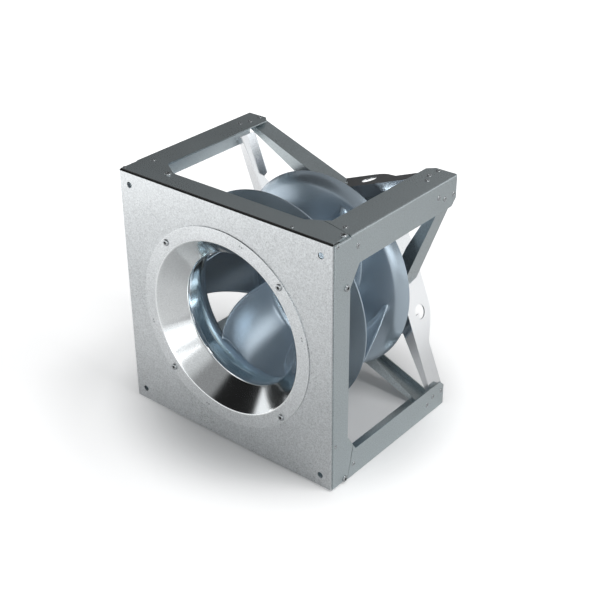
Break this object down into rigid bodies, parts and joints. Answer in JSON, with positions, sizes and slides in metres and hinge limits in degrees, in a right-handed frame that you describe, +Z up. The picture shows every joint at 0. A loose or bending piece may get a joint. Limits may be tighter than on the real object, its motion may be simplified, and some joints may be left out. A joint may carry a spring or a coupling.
{
  "type": "plug fan",
  "caption": "Square sheet-metal frame with a spun inlet nozzle in its front plate and a backward-swept impeller on a motor held by tilted rear rails.",
  "frame": {"origin": "middle of the base: centred left to right and front to back, at the lowest faces", "axes": "+X right seen from the inlet, +Y rearward along the fan axis with the air, +Z up"},
  "size_m": [0.506, 0.398, 0.503],
  "materials": {
    "galvanised_sheet": "satin zinc coating with fine grain",
    "spun_nozzle": "spun and bright",
    "fasteners": "satin zinc",
    "cast_aluminium": "satin cast",
    "core_steel": "dull laminated steel",
    "copper_winding": "enamelled copper",
    "bearing_steel": "ground and bright",
    "circuit_board": "matt",
    "black_plastic": "matt",
    "magnet": "dull",
    "seal_rubber": "matt",
    "impeller_paint": "satin blue-grey",
    "weight_metal": "dull zinc"
  },
  "bodies": {
    "frame": {"corner_piece_bottom_left": "galvanised_sheet", "corner_piece_bottom_right": "galvanised_sheet", "corner_piece_top_left": "galvanised_sheet", "corner_piece_top_right": "galvanised_sheet", "cover_screws": "fasteners", "cover_seal": "seal_rubber", "electronics_board": "circuit_board", "electronics_cover": "cast_aluminium", "electronics_housing": "cast_aluminium", "flange_bolts": "fasteners", "frame_rivets": "fasteners", "frame_screws": "fasteners", "front_bearing": "bearing_steel", "inlet_nozzle": "spun_nozzle", "inlet_plate": "galvanised_sheet", "motor_plate": "galvanised_sheet", "motor_plate_screws": "fasteners", "motor_rail_bottom": "galvanised_sheet", "motor_rail_left": "galvanised_sheet", "motor_rail_right": "galvanised_sheet", "motor_rail_top": "galvanised_sheet", "nozzle_rivets": "fasteners", "nozzle_screws": "fasteners", "power_cable_gland": "black_plastic", "rail_brace_bottom": "galvanised_sheet", "rail_brace_left": "galvanised_sheet", "rail_brace_right": "galvanised_sheet", "rail_brace_top": "galvanised_sheet", "rear_bearing": "bearing_steel", "signal_cable_gland": "black_plastic", "stator_core": "core_steel", "stator_flange": "cast_aluminium", "stator_windings": "copper_winding"},
    "rotor": {"motor_shaft": "bearing_steel", "rotor_cup": "cast_aluminium", "rotor_magnets": "magnet", "impeller_back_disc": "impeller_paint", "impeller_front_shroud": "impeller_paint", "hub_ring": "impeller_paint", "hub_screws": "fasteners", "balance_weights": "weight_metal", "retaining_ring": "bearing_steel", "impeller_blade_1": "impeller_paint", "impeller_blade_2": "impeller_paint", "impeller_blade_3": "impeller_paint", "impeller_blade_4": "impeller_paint", "impeller_blade_5": "impeller_paint"}
  },
  "joints": [
    {"name": "impeller_spin", "type": "hinge", "parent": "frame", "child": "rotor", "pos_m": [0, 0, 0.25], "axis": [0, 1, 0], "continuous": true}
  ]
}
